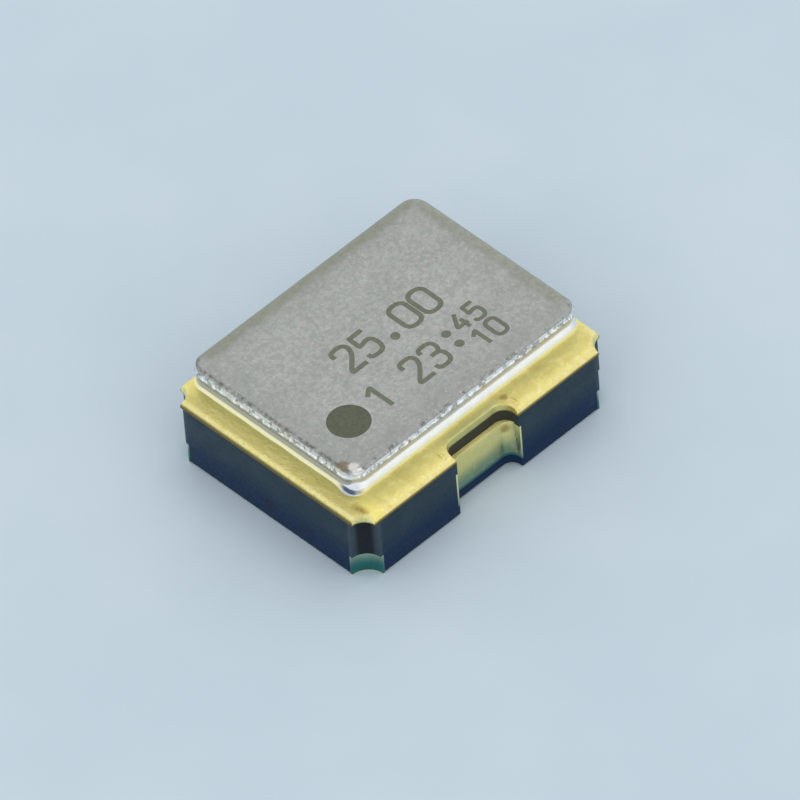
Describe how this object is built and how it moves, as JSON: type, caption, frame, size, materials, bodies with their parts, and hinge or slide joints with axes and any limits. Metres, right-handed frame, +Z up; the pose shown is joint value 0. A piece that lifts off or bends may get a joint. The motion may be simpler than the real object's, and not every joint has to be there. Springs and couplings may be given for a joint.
{
  "type": "crystal oscillator",
  "caption": "Surface-mount crystal oscillator: ceramic package with gold seal ring, brazed metal lid, solder terminals at the corners, and the quartz blank and chip sealed inside.",
  "frame": {"origin": "centre of the package on the plane of the undersides of the four solder terminals", "axes": "+X along the long sides, away from terminal 1; +Z up, towards the lid"},
  "size_m": [0.002, 0.0016, 0.0006],
  "materials": {
    "ceramic": "dark slate, satin",
    "ring_gold": "pale gold, satin and mottled",
    "plating_gold": "gold, satin",
    "braze_silver": "bright silver braze",
    "lid_metal": "matte grey, slightly rough",
    "quartz": "clear, polished",
    "electrode_gold": "thin bright gold film",
    "adhesive": "silver-filled paste, cured",
    "tungsten": "dull grey sintered metal",
    "silicon": "polished dark grey",
    "bump_gold": "gold"
  },
  "bodies": {
    "root": {"ceramic_package": "ceramic", "seal_ring": "ring_gold", "braze_frame": "braze_silver", "lid": "lid_metal", "terminal_enable": "plating_gold", "terminal_ground": "plating_gold", "terminal_output": "plating_gold", "terminal_supply": "plating_gold", "side_contact_front": "plating_gold", "side_contact_back": "plating_gold", "crystal_blank": "quartz", "top_electrode": "electrode_gold", "bottom_electrode": "electrode_gold", "adhesive_front": "adhesive", "adhesive_back": "adhesive", "crystal_pad_front": "ring_gold", "crystal_pad_back": "ring_gold", "crystal_feed_front": "tungsten", "crystal_feed_back": "tungsten", "chip": "silicon", "chip_bumps": "bump_gold", "chip_lands": "ring_gold", "base_vias": "tungsten", "lid_ground_via": "tungsten"}
  },
  "joints": []
}
